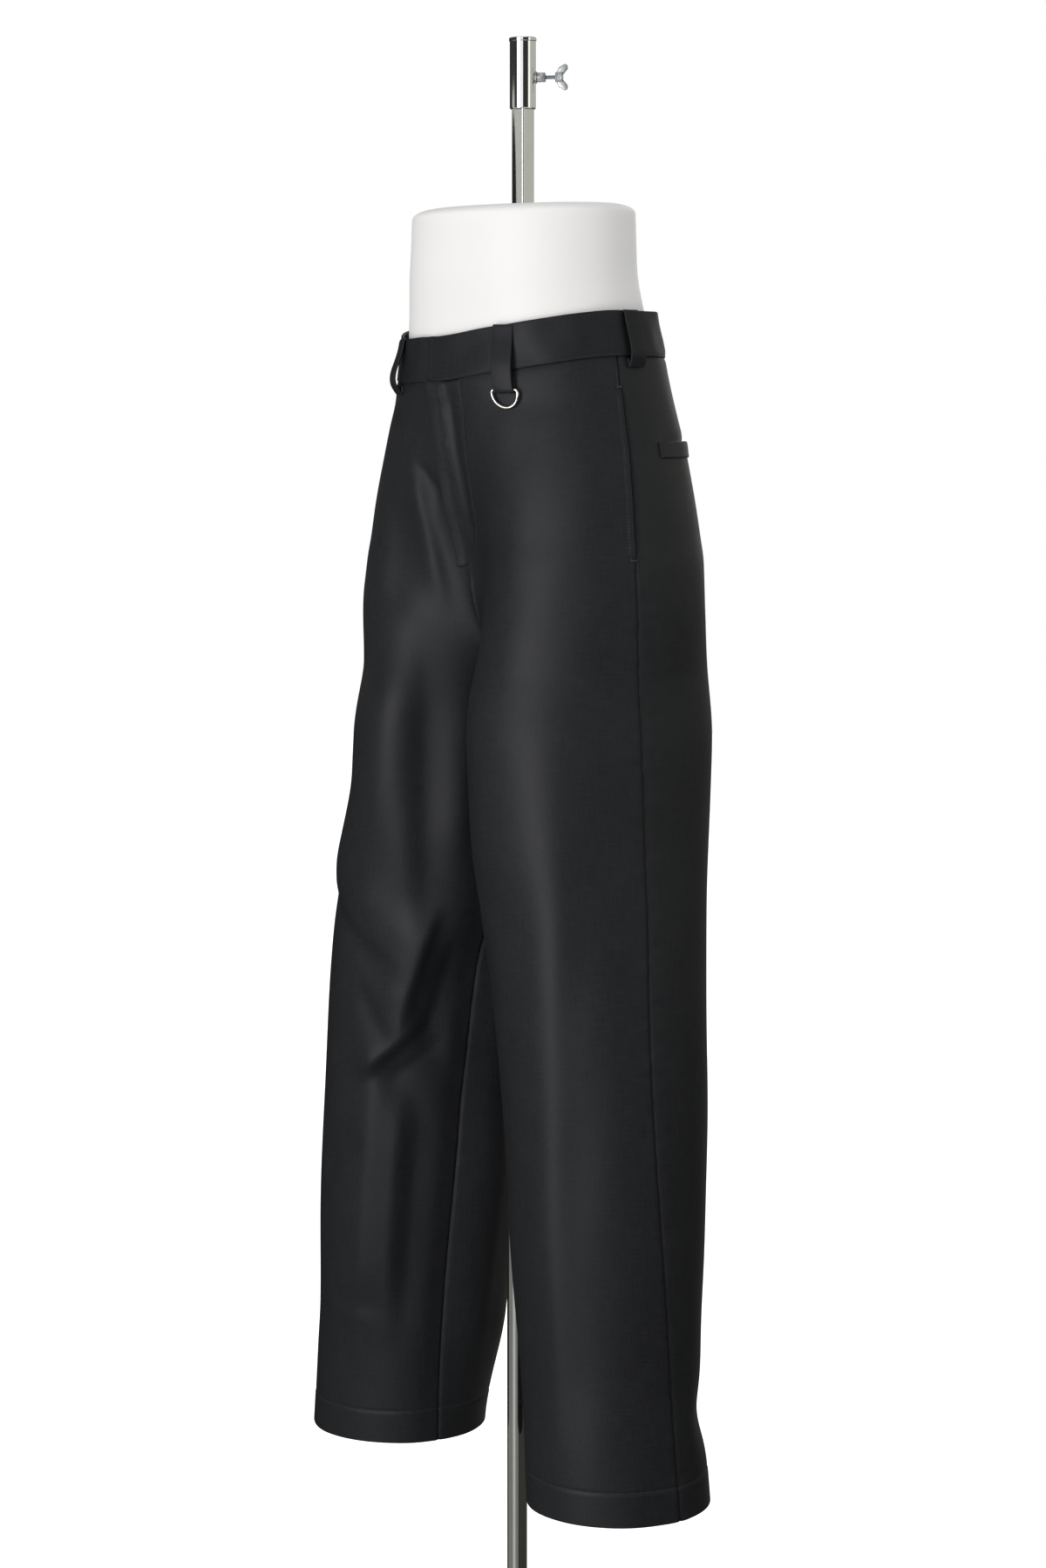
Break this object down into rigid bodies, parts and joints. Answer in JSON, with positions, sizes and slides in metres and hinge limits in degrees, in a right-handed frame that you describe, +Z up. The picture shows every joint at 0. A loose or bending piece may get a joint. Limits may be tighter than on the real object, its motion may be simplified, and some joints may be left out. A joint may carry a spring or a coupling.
{
  "type": "work trousers on a hip form stand",
  "caption": "Wide straight work trousers with belt loops, side pockets and a D-ring, worn by a limbless hip form on a round-based pole stand.",
  "frame": {"origin": "a point on the base plate's underside, on the square post's axis", "axes": "+Z up, -Y the wearer's front, +X the wearer's left"},
  "size_m": [0.476, 0.34, 1.46],
  "materials": {
    "twill": "black cotton twill with a soft sheen",
    "plastic": "matte white",
    "chrome": "polished",
    "nickel": "satin nickel plate"
  },
  "bodies": {
    "stand": {"front_left": "twill", "back_left": "twill", "front_right": "twill", "back_right": "twill", "fly": "twill", "pocket_edge_left": "twill", "pocket_edge_right": "twill", "back_welt_left": "twill", "back_welt_right": "twill", "waistband": "twill", "belt_loop_side_left": "twill", "belt_loop_side_right": "twill", "belt_loop_back": "twill", "belt_loop_front_right": "twill", "ring_loop": "twill", "hip_form": "plastic", "square_post": "chrome", "base_plate": "chrome", "pole": "chrome"},
    "d_ring": {"d_ring": "nickel"},
    "collar": {"collar": "chrome", "collar_nut": "nickel"},
    "wing_screw": {"wing_screw": "nickel"}
  },
  "joints": [
    {"name": "d_ring_swing", "type": "hinge", "parent": "stand", "child": "d_ring", "pos_m": [0.07486, -0.08367, 1.1494], "axis": [-0.9154, -0.4026, 0], "range_deg": [-2, 100]},
    {"name": "collar_slide", "type": "slide", "parent": "stand", "child": "collar", "axis": [0, 0, 1], "range_m": [-0.08, 0.02]},
    {"name": "wing_screw_turn", "type": "hinge", "parent": "collar", "child": "wing_screw", "pos_m": [0, 0, 1.4255], "axis": [0.7431, 0.6691, 0], "continuous": true}
  ]
}
